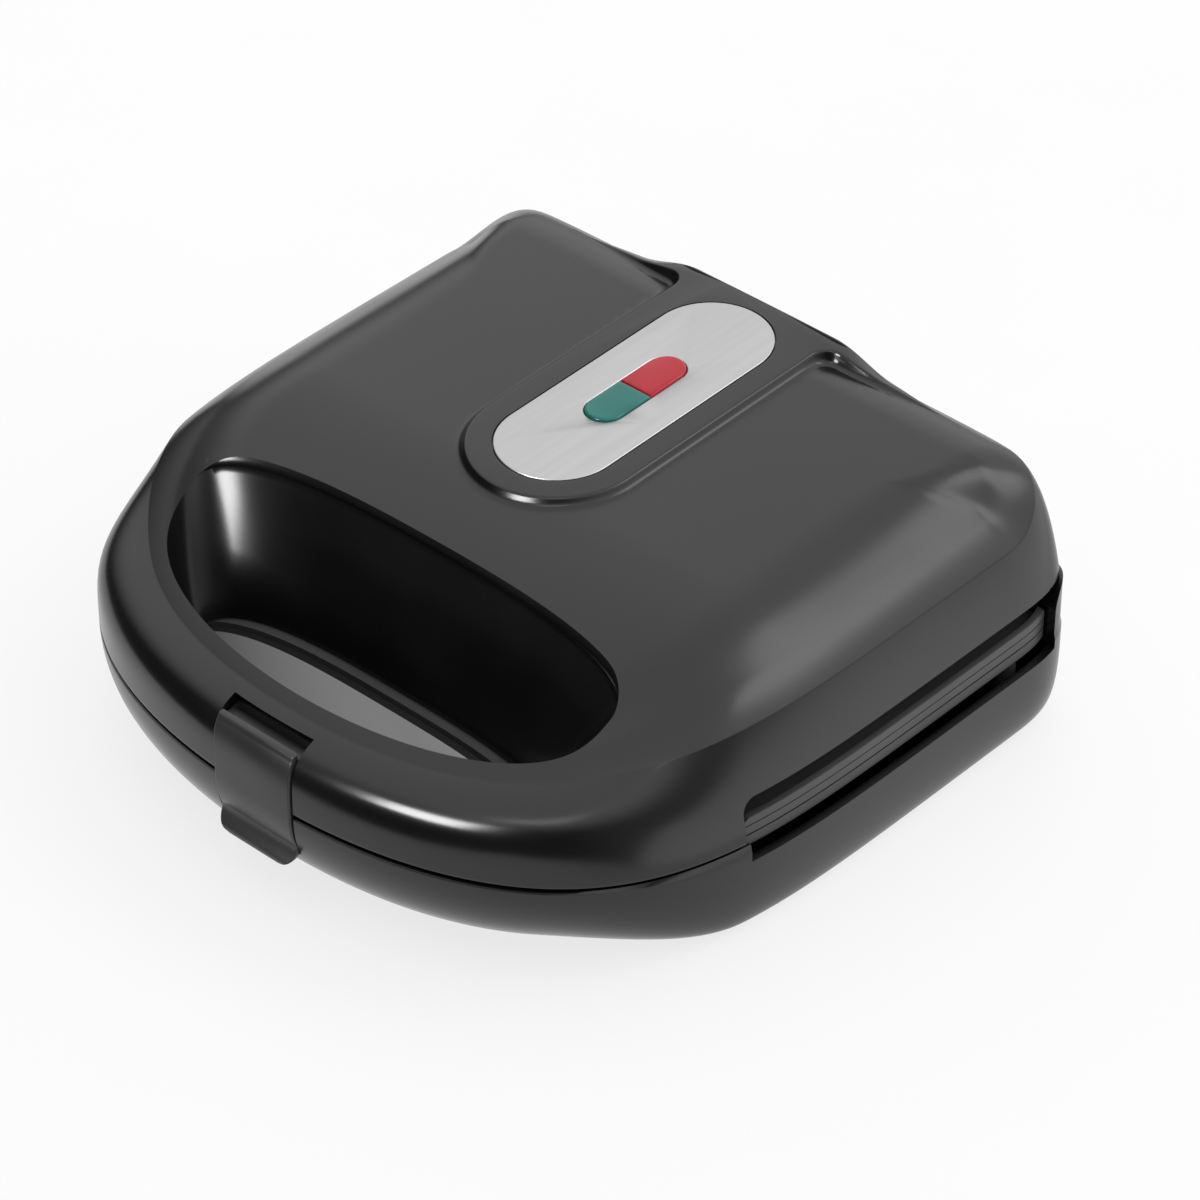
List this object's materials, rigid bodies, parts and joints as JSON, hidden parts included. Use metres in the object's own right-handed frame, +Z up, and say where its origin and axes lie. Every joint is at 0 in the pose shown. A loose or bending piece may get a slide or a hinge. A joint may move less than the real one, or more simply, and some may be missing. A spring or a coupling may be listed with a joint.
{
  "type": "sandwich toaster",
  "caption": "Closed sandwich toaster with hinged lid, triangle-recess plates, front grip opening, swinging latch, side vents and oval indicator panel.",
  "frame": {"origin": "on the table under the middle of the body's plan", "axes": "+Z up, +X to the user's right, -Y towards the handle and latch, +Y towards the hinge"},
  "size_m": [0.2418, 0.2272, 0.0903],
  "materials": {
    "shell_black": "satin-gloss moulded black",
    "latch_black": "satin black",
    "liner_black": "matte heat-resistant black",
    "cast_plate": "dark non-stick coating",
    "steel": "plain",
    "sheet_steel": "plain sheet",
    "white_part": "plain",
    "rubber": "matte",
    "trim_metal": "satin silver",
    "lens_red": "translucent",
    "lens_green": "translucent",
    "lamp_glass": "clear",
    "lead_sleeve": "silicone sleeve"
  },
  "bodies": {
    "base": {"base_shell": "shell_black", "base_liner": "liner_black", "lower_plate": "cast_plate", "lower_element": "steel", "lower_reflector": "sheet_steel", "lower_plate_screws": "steel", "base_screws": "steel", "reflector_studs_lower": "steel", "thermostat": "white_part", "thermal_fuse": "white_part", "terminal_block": "white_part", "cord_gland": "rubber", "front_feet": "rubber", "rear_feet": "rubber", "hinge_brackets": "sheet_steel", "hinge_pins": "steel", "base_catch": "sheet_steel", "base_leads": "lead_sleeve"},
    "lid": {"lid_shell": "shell_black", "lid_liner": "liner_black", "upper_plate": "cast_plate", "upper_element": "steel", "upper_reflector": "sheet_steel", "upper_plate_screws": "steel", "lid_screws": "steel", "reflector_studs_upper": "steel", "hinge_barrel": "liner_black", "latch_carrier": "liner_black", "latch_pin": "steel", "trim_plate": "trim_metal", "red_lens": "lens_red", "green_lens": "lens_green", "lamp_holder": "white_part", "neon_lamps": "lamp_glass", "lid_leads": "lead_sleeve"},
    "latch": {"latch": "latch_black"}
  },
  "joints": [
    {"name": "lid_hinge", "type": "hinge", "parent": "base", "child": "lid", "pos_m": [0, 0.1055, 0.04], "axis": [-1, 0, 0], "range_deg": [0, 100]},
    {"name": "latch_hinge", "type": "hinge", "parent": "lid", "child": "latch", "pos_m": [0, -0.1046, 0.0493], "axis": [-1, 0, 0], "range_deg": [0, 35]}
  ]
}
